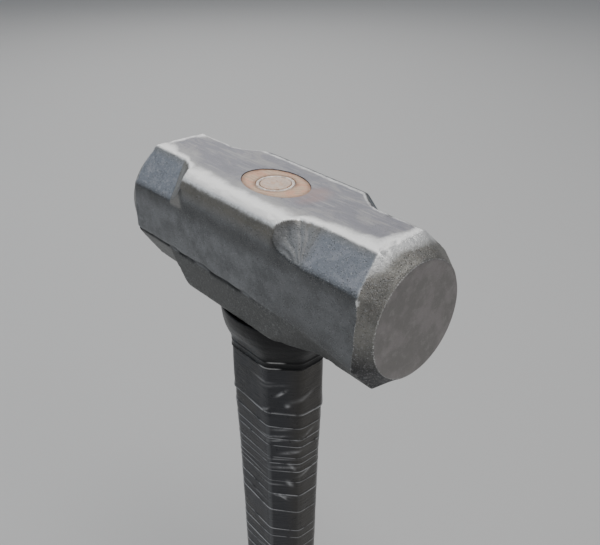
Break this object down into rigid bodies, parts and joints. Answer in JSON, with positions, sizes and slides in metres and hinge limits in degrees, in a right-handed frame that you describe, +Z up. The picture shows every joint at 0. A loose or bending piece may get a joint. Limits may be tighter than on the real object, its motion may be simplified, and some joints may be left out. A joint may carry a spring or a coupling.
{
  "type": "lump hammer",
  "caption": "Short-handled lump hammer: double-faced forged head on a wooden handle held by a round wedge, with a neck collar and a tape-wound grip.",
  "frame": {"origin": "centre of the handle's butt, on the surface it stands on", "axes": "+Z up the handle to the head, +X along the head towards one striking face, +Y across the head"},
  "size_m": [0.134, 0.043, 0.265],
  "materials": {
    "forged_steel": "dark forged and ground steel, worn bright on its edges",
    "handle_wood": "bare, end grain in the eye",
    "wedge_steel": "bright, hammered",
    "collar_black": "glossy black",
    "band_tape": "smooth black tape, semi-gloss",
    "wound_tape": "black tape, semi-gloss, overlapping turns"
  },
  "bodies": {
    "root": {"head": "forged_steel", "handle": "handle_wood", "ring_wedge": "wedge_steel", "neck_collar": "collar_black", "top_band": "band_tape", "grip_tape": "wound_tape"}
  },
  "joints": []
}
